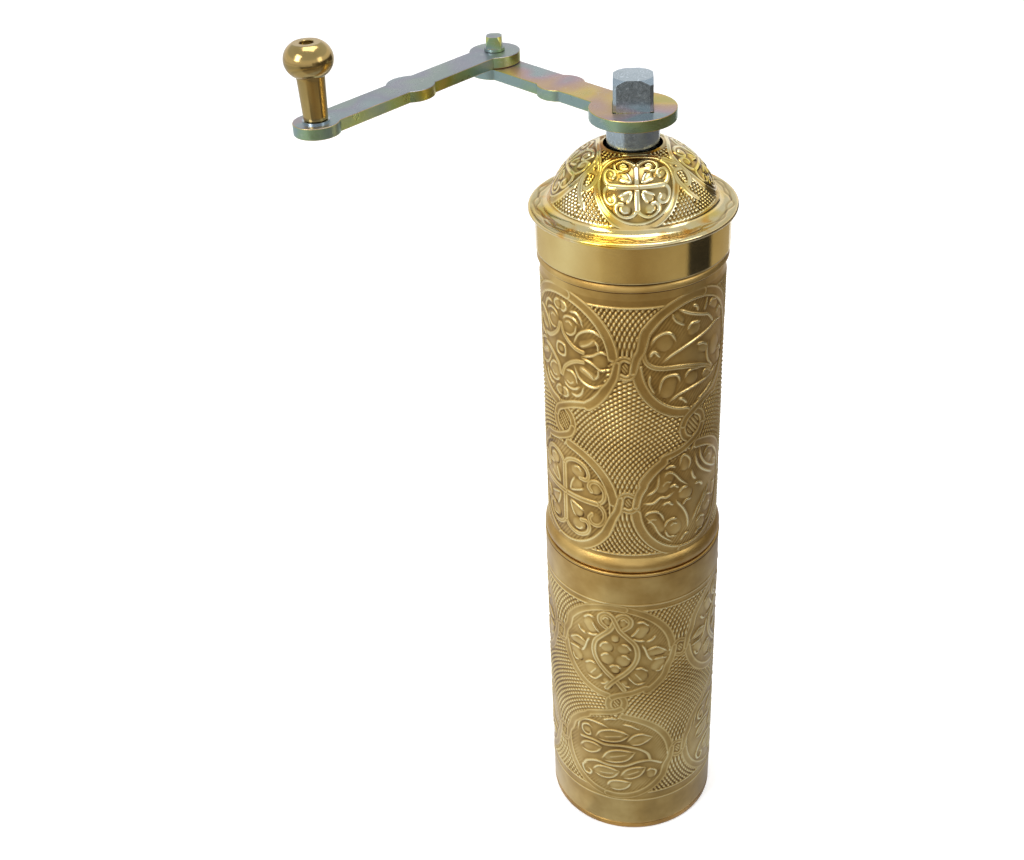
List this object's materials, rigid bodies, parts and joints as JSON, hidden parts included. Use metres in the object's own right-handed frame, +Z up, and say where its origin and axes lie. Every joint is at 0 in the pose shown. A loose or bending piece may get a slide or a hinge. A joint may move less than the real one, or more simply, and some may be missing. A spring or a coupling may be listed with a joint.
{
  "type": "turkish coffee grinder",
  "caption": "Slim brass hand mill for coffee: embossed receiver cup and casing, domed lid, conical burrs with a screw adjuster, and a folding crank with a ball knob.",
  "frame": {"origin": "middle of the receiver cup's flat foot", "axes": "+Z up along the spindle; the picture looks along +Y"},
  "size_m": [0.1067, 0.0689, 0.2487],
  "materials": {
    "satin_brass": "satin, embossed and antiqued",
    "polished_brass": "polished",
    "bush_brass": "machined",
    "spindle_steel": "bright zinc plated",
    "arm_zinc": "yellow zinc plated",
    "inner_steel": "plain",
    "burr_iron": "cast and milled"
  },
  "bodies": {
    "receiver": {"cup_tube": "satin_brass", "cup_base": "satin_brass"},
    "mill": {"casing_tube": "satin_brass", "bearing_strap": "inner_steel", "strap_bush": "bush_brass", "outer_burr": "burr_iron", "burr_screws": "inner_steel", "lower_yoke": "inner_steel", "yoke_screws": "inner_steel", "load_spring": "inner_steel"},
    "lid": {"lid_dome": "polished_brass", "lid_skirt": "polished_brass"},
    "thrust": {"thrust_ball": "inner_steel"},
    "adjuster": {"adjusting_screw": "inner_steel", "adjuster_wings": "bush_brass"},
    "spindle": {"drive_spindle": "spindle_steel", "spring_washer": "inner_steel", "cross_pin": "inner_steel", "inner_burr": "burr_iron", "burr_washer": "inner_steel", "burr_nut": "inner_steel"},
    "inner_arm": {"crank_inner_arm": "arm_zinc", "pivot_pin": "arm_zinc"},
    "outer_arm": {"crank_outer_arm": "arm_zinc", "knob_washer": "spindle_steel", "knob_pin": "spindle_steel"},
    "knob": {"knob": "polished_brass"}
  },
  "joints": [
    {"name": "mill_lift", "type": "slide", "parent": "receiver", "child": "mill", "axis": [0, 0, 1], "range_m": [0, 0.09]},
    {"name": "lid_lift", "type": "slide", "parent": "mill", "child": "lid", "axis": [0, 0, 1], "range_m": [0, 0.06]},
    {"name": "grind_setting", "type": "slide", "parent": "mill", "child": "thrust", "axis": [0, 0, 1], "range_m": [-0.0012, 0.0003], "deforming": ["load_spring"]},
    {"name": "adjusting_screw_turn", "type": "hinge", "parent": "thrust", "child": "adjuster", "pos_m": [0, 0, 0.06], "axis": [0, 0, 1], "range_deg": [-432.5, 108.5]},
    {"name": "crank_turn", "type": "hinge", "parent": "thrust", "child": "spindle", "pos_m": [0, 0, 0.15], "axis": [0, 0, 1], "continuous": true},
    {"name": "crank_lift", "type": "slide", "parent": "spindle", "child": "inner_arm", "axis": [0, 0, 1], "range_m": [0, 0.12]},
    {"name": "crank_fold", "type": "hinge", "parent": "inner_arm", "child": "outer_arm", "pos_m": [-0.03645, 0.03582, 0.2285], "axis": [0, 0, 1], "range_deg": [-262, 66]},
    {"name": "knob_spin", "type": "hinge", "parent": "outer_arm", "child": "knob", "pos_m": [-0.07445, -0.01443, 0.24], "axis": [0, 0, 1], "continuous": true}
  ],
  "couplings": [
    {"joint": "adjusting_screw_turn", "follows": "grind_setting", "rad_per_m": 6283.2},
    {"joint": "lid_lift", "follows": "crank_lift", "ratio": 0.5}
  ]
}
